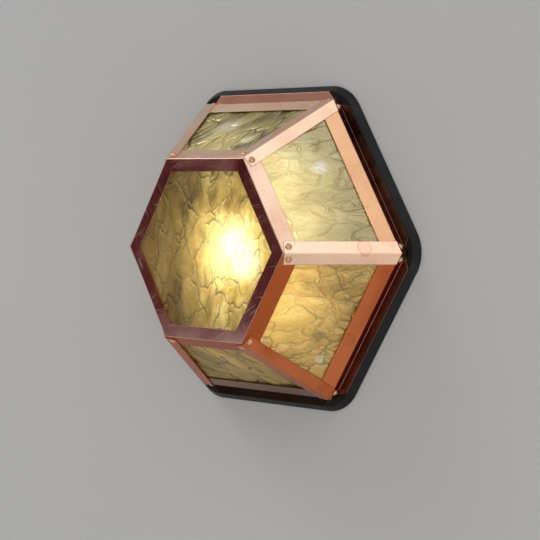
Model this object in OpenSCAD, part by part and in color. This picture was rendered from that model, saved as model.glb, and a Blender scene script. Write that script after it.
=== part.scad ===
// Flush wall lantern: a low six-sided shade of copper sheet and textured glass on a black wall pan.
// Millimetres. X runs right, Z up and Y into the wall. The wall is the plane Y = 0, the origin is the
// centre of the back face, and the lantern stands out towards -Y. Pieces are drawn lying down, with the
// wall as the XY plane, and wall_frame() stands them up.

/* [Shade outline] */
// Width across the flats of the front ring
front_flats = 164; // [156:1:176]
// Width across the flats of the rim, at the fold where the skirts start
rim_flats = 272; // [264:1:284]
// Distance from the wall to the front ring's face
lantern_depth = 102; // [98:1:116]
// Height of the rim fold above the pan's face
rim_rise = 8.5; // [8:0.25:11]

/* [Copper sheet] */
// Thickness of the sheet
sheet = 0.8; // [0.6:0.1:1]
// Outside radius of the folds
fold_r = 1.2; // [1.1:0.1:1.6]
// Width of the ring's front flange
ring_front_w = 11.6; // [9:0.2:14]
// Width of the ring's sloping flange
ring_side_w = 15; // [14:0.5:18]
// Width of the rails' sloping flange
rail_side_w = 15; // [13:0.5:18]
// Width of the seat flange that lies on the pan, outside the skirt
seat_w = 8.7; // [7:0.1:11]
// Distance from the rim corner to the seat flange's end, at the skirt
seat_gap_in = 4; // [3:0.5:6]
// Distance from the rim corner to the seat flange's end, at its free edge
seat_gap_out = 11.6; // [8:0.2:16]
// Gap between neighbouring rails under the ribs
rail_gap = 0.6; // [0.3:0.1:1.2]

/* [Ribs] */
// Width of each flange of the folded ribs
rib_w = 11; // [10:0.5:13]
// Distance from the ring's corner to the rib's front end
rib_setback = 1; // [0.5:0.25:2]
// Rounding of the ribs' rim tabs
tab_r = 5; // [3:0.5:6]
// Gap between a rim tab and the seat flange
tab_foot_gap = 0.5; // [0.5:0.1:1]

/* [Rivets] */
// Diameter of the rivet heads
rivet_head_d = 6.2; // [5:0.1:7]
// Height of the rivet heads
rivet_head_h = 1.3; // [0.8:0.1:1.8]
// Diameter of the rivet shanks
rivet_d = 3.2; // [2.4:0.1:4]
// Gap all round a shank in its hole
rivet_play = 0.05; // [0.02:0.01:0.1]
// Diameter of the pit in a head
rivet_pit_d = 1.8; // [1.2:0.1:2.4]
// Diameter of the upset tail
rivet_tail_d = 4.6; // [4.2:0.1:5]
// Length of the upset tail
rivet_tail_l = 2; // [1.2:0.1:2.5]
// Distance of the front rivets from the ring's corner, along the ridge
front_rivet_along = 5; // [4.5:0.25:6]
// Distance of the front rivets from the ridge
front_rivet_in = 5.8; // [5:0.1:6.5]
// Distance of the rim rivets from the rim corner
rim_rivet_in = 6.7; // [5.5:0.1:8]

/* [Glass] */
// Thickness of the panes
glass_t = 3; // [2.5:0.25:4]
// Sealing film between a pane and the copper in front of it
glass_bed = 0.3; // [0.2:0.05:0.5]
// How far the front pane laps behind the ring
front_lap = 7.6; // [5:0.2:8]
// How far the side panes lap behind the ring's sloping flange
side_lap_front = 5.5; // [4:0.25:5.5]
// How far the side panes lap behind the rails
side_lap_rim = 8.8; // [6:0.2:9]
// Distance of the side panes' edges from the ridge
pane_edge_in = 3.6; // [3.4:0.1:5]

/* [Pane clips] */
// Width of a clip
clip_w = 8; // [5:0.5:12]
// Thickness of the clips' strip
clip_t = 0.6; // [0.5:0.1:0.8]
// How far a clip reaches over its pane
clip_reach = 6; // [4:0.5:8]
// Length of a clip's soldered foot
clip_foot = 4.2; // [3:0.2:4.6]
// Gap between a clip and its pane
clip_gap = 0.3; // [0.2:0.05:0.5]
// Solder film under a clip's foot
solder = 0.1; // [0.05:0.05:0.2]
// Distance between the two clips at each long edge of a side pane
clip_spread = 52; // [36:2:60]

/* [Wall pan] */
// Height of the pan's face above the wall
pan_height = 7; // [6.5:0.5:9]
// How far the pan's face reaches beyond the seat flange
pan_margin = 0.6; // [0.4:0.1:3]
// How much the sloping edge spreads on each side, down to the wall
pan_spread = 4.7; // [2:0.1:6]
// Height of the upright land at the foot of the sloping edge
pan_land = 1.2; // [0.6:0.1:2]
// Rounding of the pan's corners at the wall
pan_corner_r = 36; // [20:1:50]
// Thickness of the pan's face
pan_face_t = 4; // [3.5:0.25:5]
// Thickness of the pan's rim at the wall
pan_rim_t = 4; // [3:0.25:6]
// Thickness of the stiffening ribs behind the face
pan_rib_t = 2; // [1.5:0.25:3]
// Diameter of the ring rib behind the face
pan_ring_d = 150; // [130:2:170]
// Height of the bead that centres the shade
bead_h = 2; // [1:0.25:2]
// Width of that bead
bead_w = 2; // [1.6:0.1:3]
// Gap between the bead and the skirts
bead_gap = 0.5; // [0.3:0.1:1]

/* [Wall fixing and cable entry] */
// Diameter of the circle of the wall screw holes
wall_pcd = 200; // [180:2:215]
// Diameter of the wall screw holes
wall_hole_d = 5.5; // [4.5:0.5:6.5]
// Diameter of the bosses round the screw holes
boss_d = 12; // [10:0.5:14]
// Diameter of the cable grommet's bore
cable_d = 9; // [7:0.5:11]
// Thickness of the grommet's rubber
grommet_t = 2.5; // [2:0.25:3]
// Height of each of the grommet's lips
grommet_lip = 2.2; // [1.8:0.2:2.4]
// Gap between the grommet's neck and its hole
grommet_play = 0.1; // [0.05:0.05:0.2]

/* [Shade springs] */
// Width of a spring
spring_w = 12; // [8:1:16]
// Thickness of the spring strip
spring_t = 0.6; // [0.5:0.1:0.8]
// How far a spring's leaf bows out
spring_bow = 3; // [2:0.25:4]
// Height of the spring's leaf
spring_h = 9.5; // [8:0.5:10]
// Length of the spring's foot
spring_foot = 16; // [13:1:20]
// Gap between the leaf and the skirt
spring_gap = 0.3; // [0.2:0.1:0.5]

/* [Small screws] */
// Diameter of the screws in the pan
screw_d = 3.5; // [3:0.1:4]
// Length of the screws below their heads
screw_l = 6; // [5:0.5:6.5]
// Diameter of the screw heads
screw_head_d = 7; // [6:0.25:8]
// Height of the screw heads
screw_head_h = 2.3; // [1.8:0.1:2.8]
// Gap all round a screw in its hole
screw_play = 0.05; // [0.02:0.01:0.1]

/* [Lamp] */
// Diameter of the lamp's globe
globe_d = 45; // [40:1:50]
// Length of the lamp from cap contact to crown
lamp_l = 78; // [74:1:84]
// Diameter of the lamp's screw cap
cap_d = 26; // [25.6:0.1:26.4]
// Length of the screw cap
cap_l = 23; // [21:0.5:25]
// Pitch of the cap's thread
cap_pitch = 3.6; // [3:0.1:4]
// Distance of the lamp's axis from the wall
lamp_off = 50; // [46:1:54]

/* [Lampholder] */
// Diameter of the holder's skirt
holder_d = 39; // [36:1:42]
// Depth of solid base under the holder's floor
holder_base = 14; // [12:0.5:16]
// Thickness of the threaded shell
shell_t = 0.7; // [0.5:0.1:1]
// Gap between the cap and the shell
cap_gap = 0.35; // [0.3:0.05:0.5]
// Gap between the shell and the holder's bore
shell_gap = 0.1; // [0.05:0.05:0.2]
// Height of the centre contact
contact_h = 2.4; // [1.6:0.2:3]
// Gap between the centre contact and the lamp
contact_gap = 0.3; // [0.2:0.05:0.4]
// Diameter of the threaded spigot
spigot_d = 10; // [9:0.5:11]
// Diameter of the wire way through the spigot
wire_way_d = 6.6; // [6:0.2:7]

/* [Holder bracket] */
// Thickness of the bracket's strip
bracket_t = 1.5; // [1.2:0.1:2.5]
// Width of the bracket
bracket_w = 28; // [24:1:34]
// Length of the bracket's foot
bracket_foot = 34; // [30:1:40]
// Distance of the foot's screws from the shelf
bracket_screw_y = 21; // [16:1:26]
// Distance between the foot's screws
bracket_screw_x = 15; // [12:1:18]
// Width across flats of the spigot nut
nut_flats = 14; // [13:0.5:17]
// Height of the spigot nut
nut_h = 4; // [3:0.5:5]

/* [Terminal block] */
// Number of poles
poles = 3; // [2:1:4]
// Distance between poles
pole_pitch = 10; // [9:0.5:12]
// Depth of the block along the wires
block_y = 20; // [18:1:24]
// Height of the block's lower step
block_low = 9; // [8.5:0.5:11]
// Height of the whole block
block_h = 15; // [14:0.5:18]
// Depth of the block's upper step
block_top_y = 12; // [10:1:14]
// Diameter of the brass sleeves
sleeve_d = 5.4; // [5:0.2:6]
// Diameter of the sleeves' bore
sleeve_bore = 3.4; // [3:0.2:3.8]
// Diameter of the clamping screws
clamp_d = 3; // [2.6:0.2:3.4]
// Gap round the screw head that holds the block
clamp_gap = 0.3; // [0.2:0.1:0.5]
// Diameter of the two insulated leads
lead_d = 2.4; // [2:0.1:2.6]

/* [Hidden] */
$fn = 64;

copper = "peru";
dark_copper = "saddlebrown";
amber_glass = "darkgoldenrod";
black_coat = "black";
zinc = "silver";
brass = "goldenrod";
ivory = "ivory";

// Apothems, levels above the wall, and the lie of the six sloping faces
front_a = front_flats / 2;
rim_a = rim_flats / 2;
seat_a = rim_a + seat_w;
rim_z = pan_height + rim_rise;
face_run = rim_a - front_a;
face_drop = lantern_depth - rim_z;
face_tilt = atan2(face_drop, face_run);
slope_l = norm([face_run, face_drop]);
front_half = front_a * tan(30);
rim_half = rim_a * tan(30);
skew = atan2(rim_half - front_half, slope_l);
ridge_tilt = atan2(face_drop, face_run / cos(30));
ridge_l = norm([face_run / cos(30), face_drop]);
flange_lean = asin(sin(face_tilt) * sin(30));
rim_turn = 90 - face_tilt;

// A width larger than the whole lantern, for cutting tools
reach = rim_flats + lantern_depth;

// Pan
pan_a = seat_a + pan_margin + pan_spread;
pan_hollow = pan_height - pan_face_t;
bead_a = rim_a - sheet - bead_gap;
slot_w = spring_w + 4;

// Glass
pane_depth = sheet + glass_bed + glass_t;
front_pane_a = front_a - ring_front_w + front_lap;
pane_s0 = ring_side_w - side_lap_front;
pane_s1 = slope_l - rail_side_w + side_lap_rim;

// Lamp axis: everything on it is measured from the globe's centre, which sits on the lantern's axis
lamp_foot = globe_d / 2 - lamp_l;
holder_floor = lamp_foot - contact_gap - contact_h;
shelf = holder_floor - holder_base;
holder_mouth = lamp_foot + cap_l - 2;
shell_r = cap_d / 2 + cap_gap;
holder_bore = shell_r + shell_t + shell_gap;

// Places on the pan: cable entry, terminal block and earth screw
entry = [-30, 48];
block = [-52, 4];
block_fix = block - [pole_pitch / 2, 0];
earth = [46, -24];

// The leads run from the block's lower side, along the pan and up into the spigot
lead_z = pan_height + 5;
spigot_foot = shelf - bracket_t - nut_h - 2;
function lead_route(pole, side) = [
    [block.x + pole * pole_pitch, block.y - block_y / 2 + 5, pan_height + block_low / 2],
    [block.x + pole * pole_pitch, block.y - block_y / 2 - 4, pan_height + block_low / 2],
    [block.x + pole * pole_pitch, -18, lead_z - 1],
    [block.x + pole * pole_pitch + 1, -34, lead_z - 1],
    [-44 + side * 3, -52, lead_z],
    [-38 + side * 3, -68, lead_z + 4],
    [-29 + side * 3, -81, lead_z + 12],
    [-18 + side * 2, -90, lead_z + 22],
    [-7 + side * 2, -93, lamp_off - 5],
    [-1 + side * 1.6, -90, lamp_off - 1],
    [side * 1.5, spigot_foot - 4, lamp_off],
    [side * 1.5, spigot_foot + 3, lamp_off],
    [side * 1.5, shelf + 6, lamp_off]];

// Placing

module wall_frame() { rotate([90, 0, 0]) children(); }

// Side k, counted from the top side, with its outward direction on +Y and its corners at x = +-half width
module side_frame(k) { rotate(60 * k) children(); }

// Corner k, counted from the right corner, with the corner on +X
module corner_frame(k) { rotate(60 * k) children(); }

// The two sides that meet at a corner on +X, each drawn with that corner at its right-hand end
module both_sides() {
    for (turn = [0, 1]) mirror([0, turn, 0]) rotate(-60) children();
}

// The plane of a sloping face: x along the side, y down the slope from the front edge, z out of the face
module on_face() { translate([0, front_a, lantern_depth]) rotate([-face_tilt, 0, 0]) children(); }

// Extrudes a section drawn as (outward, away from the wall) along the side
module along_side(l) { rotate([90, 0, 90]) linear_extrude(l, center = true) children(); }

// The sixth of the plan that belongs to the side on +Y
module sixth() {
    linear_extrude(reach) polygon([[0, 0], [reach * tan(30), reach], [-reach * tan(30), reach]]);
}

// A point on a face, given along the ridge from the ring's corner and square in from the ridge
function from_ridge(along, in) =
    [front_half + along * sin(skew) - in * cos(skew), along * cos(skew) + in * sin(skew)];

// Half the width of a face at a distance down the slope, less a margin square to the ridge
function face_half(s, margin) = front_half + s * tan(skew) - margin / cos(skew);

module front_rivet_places(k) {
    p = from_ridge(front_rivet_along, front_rivet_in);
    corner_frame(k) both_sides() on_face() translate([p.x, p.y, 0]) children();
}

module rim_rivet_places(k) {
    z = (pan_height + sheet + rim_z) / 2;
    corner_frame(k) both_sides() translate([rim_half - rim_rivet_in, rim_a, z]) rotate([-90, 0, 0]) children();
}

// Points of an arc round c, from one angle to another
function arc(c, r, from, to, steps = 5) =
    [for (i = [0:steps]) c + r * [cos(from + (to - from) * i / steps), sin(from + (to - from) * i / steps)]];

// A skin that runs in along -X for a length a to a fold at the origin, turns down by an angle and runs on
// for a length b, lowered by inset
function folded_line(a, b, turn, inset) =
    let (centre = [-fold_r * tan(turn / 2), -fold_r], out = [sin(turn), cos(turn)], down = [cos(turn), -sin(turn)])
    concat([[-a, -inset]], arc(centre, fold_r - inset, 90, 90 - turn), [b * down - inset * out]);

function backwards(p) = [for (i = [len(p) - 1:-1:0]) p[i]];

// Section of a rail: sloping flange, fold at the rim, skirt, fold at its foot and seat flange
module rail_section() {
    top = [0, rim_rise] + rail_side_w * [-cos(face_tilt), sin(face_tilt)];
    rim_centre = [-fold_r, rim_rise - fold_r * tan(rim_turn / 2)];
    foot_r = fold_r - sheet;
    foot_centre = [foot_r, fold_r];
    translate([rim_a, pan_height]) polygon(concat(
        [top], arc(rim_centre, fold_r, rim_turn, 0), arc(foot_centre, foot_r, 180, 270), [[seat_w, sheet]],
        [[seat_w, 0]], arc(foot_centre, fold_r, 270, 180), arc(rim_centre, foot_r, 0, rim_turn),
        [top - sheet * [sin(face_tilt), cos(face_tilt)]]));
}

module rib_section() {
    along = [cos(flange_lean), -sin(flange_lean)];
    out = [sin(flange_lean), cos(flange_lean)];
    half = concat([rib_w * along, rib_w * along + sheet * out], arc([0, 0], sheet, 90 - flange_lean, 90, 3));
    polygon(concat(half, [for (p = backwards(half)) [-p.x, p.y]], [[0, 0]]));
}

// Shade: copper frame

// The room under the ring's skin, lowered by inset: what the six folded sides enclose between them
module under_ring(inset) {
    out = [sin(face_tilt), cos(face_tilt)];
    line = folded_line(reach, ring_side_w + inset, face_tilt, inset);
    intersection_for(k = [0:5]) side_frame(k) along_side(reach) translate([front_a, lantern_depth])
        polygon(concat(line, [line[len(line) - 1] - reach * out, [-reach, -reach]]));
}

module front_ring() color(dark_copper) wall_frame() difference() {
    under_ring(0);
    under_ring(sheet);
    cylinder(h = reach, r = (front_a - ring_front_w) / cos(30), $fn = 6);
    for (k = [0:5]) front_rivet_places(k) cylinder(h = 3 * sheet, r = rivet_d / 2 + rivet_play, center = true);
}

// Plan outline of a rail: mitred to its neighbours, with the seat flange's ends cut back at an angle
module rail_outline() {
    inner_y = rim_a - rail_side_w;
    inner_x = inner_y * tan(30) - rail_gap / 2 / cos(30);
    rim_x = rim_half - rail_gap / 2 / cos(30);
    half = [[inner_x, inner_y], [rim_x, rim_a], [rim_half - seat_gap_in, rim_a],
            [rim_half - seat_gap_out, seat_a]];
    polygon(concat(half, [for (i = [len(half) - 1:-1:0]) [-half[i].x, half[i].y]]));
}

module rail(k) color(copper) wall_frame() difference() {
    side_frame(k) intersection() {
        along_side(reach) rail_section();
        linear_extrude(lantern_depth) rail_outline();
    }
    for (corner = [0:5]) rim_rivet_places(corner)
        cylinder(h = 3 * sheet, r = rivet_d / 2 + rivet_play, center = true);
}

// The tab that turns down over a skirt, with its free corner rounded
module rim_tab() {
    foot = pan_height + sheet + tab_foot_gap;
    top = rim_z + sheet * (1 / cos(face_tilt) - tan(face_tilt));
    left = rim_half - rib_w / cos(skew);
    intersection() {
        translate([0, rim_a + sheet, 0]) rotate([90, 0, 0]) linear_extrude(sheet)
            polygon(concat([[left, top]], arc([left + tab_r, foot + tab_r], tab_r, 180, 270, 10),
                           [[rim_half + 1, foot], [rim_half + 1, top]]));
        sixth();
    }
}

module rib(k) color(copper) wall_frame() difference() {
    corner_frame(k) {
        intersection() {
            translate([front_a / cos(30), 0, lantern_depth]) rotate([0, ridge_tilt, 0])
                translate([rib_setback, 0, 0]) rotate([90, 0, 90]) linear_extrude(ridge_l + rib_w) rib_section();
            cylinder(h = reach, r = (rim_a + sheet) / cos(30), $fn = 6);
        }
        both_sides() rim_tab();
    }
    front_rivet_places(k) cylinder(h = 3 * sheet, r = rivet_d / 2 + rivet_play, center = true);
    rim_rivet_places(k) cylinder(h = 3 * sheet, r = rivet_d / 2 + rivet_play, center = true);
}

// Blind rivet through two sheets: the outer sheet lies above z = 0, the inner one below it
module rivet() {
    crown_r = (rivet_head_h ^ 2 + (rivet_head_d / 2) ^ 2) / (2 * rivet_head_h);
    tail_r = rivet_tail_d / 2;
    ease = 0.5;
    rotate_extrude() {
        translate([0, sheet]) difference() {
            intersection() {
                translate([0, rivet_head_h - crown_r]) circle(crown_r);
                square([rivet_head_d / 2, rivet_head_h]);
            }
            translate([0, rivet_head_h / 2]) square([rivet_pit_d / 2, rivet_head_h]);
        }
        translate([0, -sheet]) square([rivet_d / 2, 2 * sheet]);
        translate([0, -sheet - rivet_tail_l]) polygon([[0, 0], [tail_r - ease, 0], [tail_r, ease],
            [tail_r, rivet_tail_l - ease], [tail_r - ease, rivet_tail_l], [0, rivet_tail_l]]);
    }
}

module front_rivets() color(copper) wall_frame() for (k = [0:5]) front_rivet_places(k) rivet();

module rim_rivets() color(copper) wall_frame() for (k = [0:5]) rim_rivet_places(k) rivet();

// Shade: panes and the clips that hold them

module front_pane() color(amber_glass) wall_frame()
    translate([0, 0, lantern_depth - pane_depth]) cylinder(h = glass_t, r = front_pane_a / cos(30), $fn = 6);

module side_pane(k) color(amber_glass) wall_frame() side_frame(k) on_face()
    translate([0, 0, -pane_depth]) linear_extrude(glass_t) {
        top = face_half(pane_s0, pane_edge_in);
        foot = face_half(pane_s1, pane_edge_in);
        polygon([[-top, pane_s0], [top, pane_s0], [foot, pane_s1], [-foot, pane_s1]]);
    }

// Section of a folded clip: the pane's edge is at 0, the pane lies on the negative side
module clip_section() {
    low = -pane_depth - clip_gap - clip_t;
    seat = -sheet - solder;
    translate([clip_gap, seat - clip_t]) square([clip_foot, clip_t]);
    translate([clip_gap, low]) square([clip_t, seat - low]);
    translate([clip_gap - clip_reach, low]) square([clip_reach + clip_t, clip_t]);
}

module pane_clips() color(copper) wall_frame() for (k = [0:5], side = [-1, 1]) side_frame(k) on_face() {
    translate([side * clip_spread / 2, pane_s1, 0]) along_side(clip_w) clip_section();
    translate([side * clip_spread / 2, pane_s0, 0]) mirror([0, 1, 0]) along_side(clip_w) clip_section();
}

// A clip for the front pane stands on the ring's sloping flange and turns in behind the pane
module front_clip_section() {
    back = lantern_depth - pane_depth - clip_gap;
    under = sheet + solder + clip_t;
    corner_s = (lantern_depth - back - under * cos(face_tilt)) / sin(face_tilt);
    corner_y = front_a + corner_s * cos(face_tilt) - under * sin(face_tilt);
    inner_y = front_pane_a - clip_reach;
    translate([front_a, lantern_depth]) rotate(-face_tilt) translate([corner_s, -under]) square([clip_foot, clip_t]);
    translate([inner_y, back - clip_t]) square([corner_y + clip_t - inner_y, clip_t]);
}

module front_pane_clips() color(copper) wall_frame()
    for (k = [0:5]) side_frame(k) along_side(clip_w) front_clip_section();

// Wall pan

// Rounded hexagon with a sloping edge: apothem a0 at z0 and a1 at z1, corners rounded to r at z0
module sloped_hexagon(a0, a1, z0, z1, r) {
    hull() for (k = [0:5]) corner_frame(k) translate([(a0 - r) / cos(30), 0, z0])
        cylinder(h = z1 - z0, r1 = r, r2 = r + a1 - a0, $fn = 96);
}

module pan_screw_places() {
    spring_places() translate([spring_root - spring_foot * 0.6, 0]) children();
    for (side = [-1, 1]) translate([side * bracket_screw_x / 2, shelf + bracket_screw_y]) children();
    translate(block_fix) children();
    translate(earth) children();
}

module wall_hole_places() { for (k = [0:2]) rotate(90 + 120 * k) translate([wall_pcd / 2, 0]) children(); }

module pan_bead() {
    difference() {
        translate([0, 0, pan_height - 1]) cylinder(h = bead_h + 1, r = bead_a / cos(30), $fn = 6);
        cylinder(h = reach, r = (bead_a - bead_w) / cos(30), $fn = 6);
        spring_places() translate([bead_a, 0, pan_height + bead_h]) cube([4 * bead_w, slot_w, 2 * bead_h], center = true);
    }
}

module pan_back() {
    hollow_a = pan_a - pan_rim_t;
    difference() {
        sloped_hexagon(hollow_a, hollow_a, -1, pan_hollow, pan_corner_r - pan_rim_t);
        for (k = [0:5]) rotate(30 + 60 * k) translate([0, -pan_rib_t / 2, -2]) cube([pan_a, pan_rib_t, pan_height]);
        translate([0, 0, -2]) difference() {
            cylinder(h = pan_height, r = pan_ring_d / 2 + pan_rib_t / 2);
            cylinder(h = pan_height, r = pan_ring_d / 2 - pan_rib_t / 2);
        }
        wall_hole_places() translate([0, 0, -2]) cylinder(h = pan_height, r = boss_d / 2);
        pan_screw_places() translate([0, 0, -2]) cylinder(h = pan_height, r = boss_d / 2 - 1);
    }
}

module wall_pan() color(black_coat) wall_frame() difference() {
    union() {
        sloped_hexagon(pan_a, pan_a, 0, pan_land, pan_corner_r);
        sloped_hexagon(pan_a, pan_a - pan_spread, pan_land, pan_height, pan_corner_r);
        pan_bead();
    }
    pan_back();
    wall_hole_places() translate([0, 0, -1]) cylinder(h = 2 * pan_height, r = wall_hole_d / 2);
    pan_screw_places() translate([0, 0, pan_height - screw_l]) cylinder(h = 2 * screw_l, r = screw_d / 2 + screw_play);
    translate([entry.x, entry.y, -1]) cylinder(h = 2 * pan_height, r = cable_d / 2 + grommet_t + grommet_play);
}

module cable_grommet() color("dimgray") wall_frame() translate([entry.x, entry.y, pan_height]) rotate_extrude() {
    r = cable_d / 2;
    neck = pan_face_t + 2 * grommet_play;
    translate([r, grommet_play - neck]) square([grommet_t, neck]);
    for (z = [grommet_play, grommet_play - neck - grommet_lip]) translate([r, z]) difference() {
        square([2 * grommet_t, grommet_lip]);
        translate([2 * grommet_t, z > 0 ? grommet_lip : 0]) rotate(45) square(grommet_lip / 2, center = true);
    }
}

// Springs that hold the shade, on three alternate sides

spring_root = rim_a - sheet - spring_gap - spring_bow;

module spring_places() { for (k = [0, 2, 4]) rotate(90 + 60 * k) children(); }

module spring_section() {
    bow_z = pan_height + spring_h * 0.55;
    top_z = pan_height + spring_h;
    back = 1.3 * spring_t;
    polygon([[spring_root - spring_foot, pan_height], [spring_root, pan_height], [spring_root + spring_bow, bow_z],
        [spring_root, top_z], [spring_root - back, top_z], [spring_root + spring_bow - back, bow_z],
        [spring_root - back, pan_height + spring_t], [spring_root - spring_foot, pan_height + spring_t]]);
}

module shade_springs() color(zinc) wall_frame() spring_places() difference() {
    rotate([90, 0, 0]) linear_extrude(spring_w, center = true) spring_section();
    translate([spring_root - spring_foot * 0.6, 0, pan_height])
        cylinder(h = 4 * spring_t, r = screw_d / 2 + screw_play, center = true);
}

// Pan-head screw with a cross recess, its head's underside at z = 0
module small_screw(l) {
    crown_r = (screw_head_h ^ 2 + (screw_head_d / 2) ^ 2) / (2 * screw_head_h);
    slot = screw_head_d / 7;
    difference() {
        rotate_extrude() {
            intersection() {
                translate([0, screw_head_h - crown_r]) circle(crown_r);
                square([screw_head_d / 2, screw_head_h]);
            }
            translate([0, -l]) square([screw_d / 2, l]);
        }
        for (turn = [0, 90]) rotate(turn)
            translate([0, 0, screw_head_h]) cube([screw_head_d * 0.55, slot, screw_head_h], center = true);
    }
}

// A screw that holds a strip of thickness t on the pan reaches to the floor of its hole, less a gap
module screw_through(t) { translate([0, 0, pan_height + t]) small_screw(screw_l + t - 0.5); }

module spring_screws() color(zinc) wall_frame() spring_places()
    translate([spring_root - spring_foot * 0.6, 0]) screw_through(spring_t);

// Lampholder on its bracket

// Stands a piece drawn round the Z axis on the lamp's axis, with its z = 0 at height y
module on_lamp_axis(y) { translate([0, y, lamp_off]) rotate([-90, 0, 0]) children(); }

module holder_bracket() color(zinc) wall_frame() difference() {
    bend_r = 2 * bracket_t;
    tall = lamp_off + bracket_w / 2;
    intersection() {
        along_side(bracket_w) {
            translate([shelf - bracket_t, pan_height]) difference() {
                union() {
                    square([bracket_foot, bend_r]);
                    square([bend_r, tall - pan_height]);
                }
                difference() {
                    translate([-1, -1]) square(bend_r + 1);
                    translate([bend_r, bend_r]) circle(bend_r);
                }
                translate([bracket_t, bend_r]) square([bracket_foot, tall]);
                translate([bend_r, bracket_t]) square([bracket_foot, tall]);
                translate([bend_r, bend_r]) circle(bend_r - bracket_t);
            }
        }
        translate([0, 0, 0]) rotate([90, 0, 0]) linear_extrude(reach, center = true) {
            translate([-bracket_w / 2, 0]) square([bracket_w, lamp_off]);
            translate([0, lamp_off]) circle(bracket_w / 2);
        }
    }
    on_lamp_axis(shelf) cylinder(h = 4 * bracket_t, r = spigot_d / 2 + 0.1, center = true);
    for (side = [-1, 1]) translate([side * bracket_screw_x / 2, shelf + bracket_screw_y, pan_height])
        cylinder(h = 4 * bracket_t, r = screw_d / 2 + screw_play, center = true);
}

module bracket_screws() color(zinc) wall_frame() for (side = [-1, 1])
    translate([side * bracket_screw_x / 2, shelf + bracket_screw_y]) screw_through(bracket_t);

module lampholder() color(ivory) wall_frame() on_lamp_axis(shelf) rotate_extrude() {
    skirt = holder_d / 2;
    mouth = holder_mouth - shelf;
    waist = skirt - 2.5;
    difference() {
        union() {
            translate([0, spigot_foot - shelf]) square([spigot_d / 2, shelf - spigot_foot]);
            polygon([[0, 0], [waist - 4, 0], [waist, 4], [waist, holder_base], [skirt, holder_base + 3],
                     [skirt, mouth - 1], [skirt - 1, mouth], [0, mouth]]);
        }
        translate([0, spigot_foot - shelf - 1]) square([wire_way_d / 2, holder_base + shelf - spigot_foot - 2]);
        translate([0, holder_base]) square([holder_bore, mouth]);
    }
}

module screw_shell() color(brass) wall_frame() on_lamp_axis(holder_floor) rotate_extrude()
    translate([shell_r, 0]) square([shell_t, cap_l - 4]);

module centre_contact() color(brass) wall_frame() on_lamp_axis(holder_floor) {
    w = 5;
    t = 0.5;
    rotate([90, 0, 0]) linear_extrude(w, center = true)
        polygon([[-9, 0], [-5, 0], [-2, contact_h - t], [3, contact_h - t], [3, contact_h], [-2.3, contact_h],
                 [-5.3, t], [-9, t]]);
}

module spigot_nut() color(zinc) wall_frame() on_lamp_axis(shelf - bracket_t - nut_h) difference() {
    cylinder(h = nut_h, r = nut_flats / 2 / cos(30), $fn = 6);
    translate([0, 0, -1]) cylinder(h = nut_h + 2, r = spigot_d / 2 + 0.1);
}

// Height and radius of the bulb's glass, from the neck up: a soft flare that runs into the globe
function bulb_line(neck_r, neck_z, centre_z, globe_r, low = -38) =
    let (join = [globe_r * cos(low), centre_z + globe_r * sin(low)])
    concat([for (i = [0:6]) let (t = i / 6, u = t * t * (2.2 - 1.2 * t)) [neck_r + (join.x - neck_r) * u, neck_z + (join.y - neck_z) * t]],
           [for (i = [1:16]) let (a = low + (90 - low) * i / 16) [max(0, globe_r * cos(a)), centre_z + globe_r * sin(a)]]);

module lamp() color("ivory") wall_frame() on_lamp_axis(lamp_foot) rotate_extrude() {
    core_r = cap_d / 2 - cap_pitch / 4;
    thread_foot = 7;
    polygon(concat([[0, 0], [4.5, 0], [5, 1.5], [core_r - 2, 4], [core_r, thread_foot - 1], [core_r, cap_l - 0.5]],
                   bulb_line(core_r + 0.6, cap_l, lamp_l - globe_d / 2, globe_d / 2)));
    for (z = [thread_foot:cap_pitch:cap_l - cap_pitch / 2]) translate([core_r, z]) circle(cap_pitch / 4);
}

// Terminal block with brass sleeves and clamping screws, poles side by side

module pole_places() {
    for (i = [0:poles - 1]) translate([block.x + (i - (poles - 1) / 2) * pole_pitch, block.y, pan_height]) children();
}

module clamp_places() {
    pole_places() for (side = [-1, 1]) translate([0, side * block_top_y / 4, 0]) children();
}

sleeve_z = block_low / 2;
sleeve_l = block_y - 4;

module terminal_block() color(ivory) wall_frame() difference() {
    union() {
        pole_places() {
            translate([0, 0, block_low / 2]) cube([pole_pitch - 1.4, block_y, block_low], center = true);
            translate([0, 0, block_h / 2]) cube([pole_pitch - 1.4, block_top_y, block_h], center = true);
        }
        translate([block.x, block.y, pan_height + block_low / 2])
            cube([pole_pitch * (poles - 1), block_top_y - 2, block_low], center = true);
    }
    pole_places() translate([0, 0, sleeve_z]) rotate([90, 0, 0])
        cylinder(h = 2 * block_y, r = sleeve_d / 2 + 0.1, center = true);
    clamp_places() translate([0, 0, sleeve_z]) cylinder(h = block_h, r = clamp_d / 2 + 0.1);
    translate([block_fix.x, block_fix.y, pan_height]) {
        cylinder(h = 2 * block_h, r = screw_d / 2 + screw_play, center = true);
        translate([0, 0, block_low]) cylinder(h = block_h, r = screw_head_d / 2 + clamp_gap);
    }
}

module terminal_sleeves() color(brass) wall_frame() difference() {
    pole_places() translate([0, 0, sleeve_z]) rotate([90, 0, 0]) cylinder(h = sleeve_l, r = sleeve_d / 2, center = true);
    pole_places() translate([0, 0, sleeve_z]) rotate([90, 0, 0])
        cylinder(h = 2 * block_y, r = sleeve_bore / 2, center = true);
    clamp_places() translate([0, 0, sleeve_z]) cylinder(h = block_h, r = clamp_d / 2 + 0.05);
}

module terminal_screws() color(brass) wall_frame() clamp_places() {
    z = sleeve_z + sleeve_bore / 2 + 0.2;
    translate([0, 0, z]) difference() {
        cylinder(h = block_h - z - 2, r = clamp_d / 2);
        translate([0, 0, block_h - z - 2]) cube([2 * clamp_d, 0.6, 1.4], center = true);
    }
}

module block_screw() color(zinc) wall_frame() translate(block_fix) screw_through(block_low);

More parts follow.
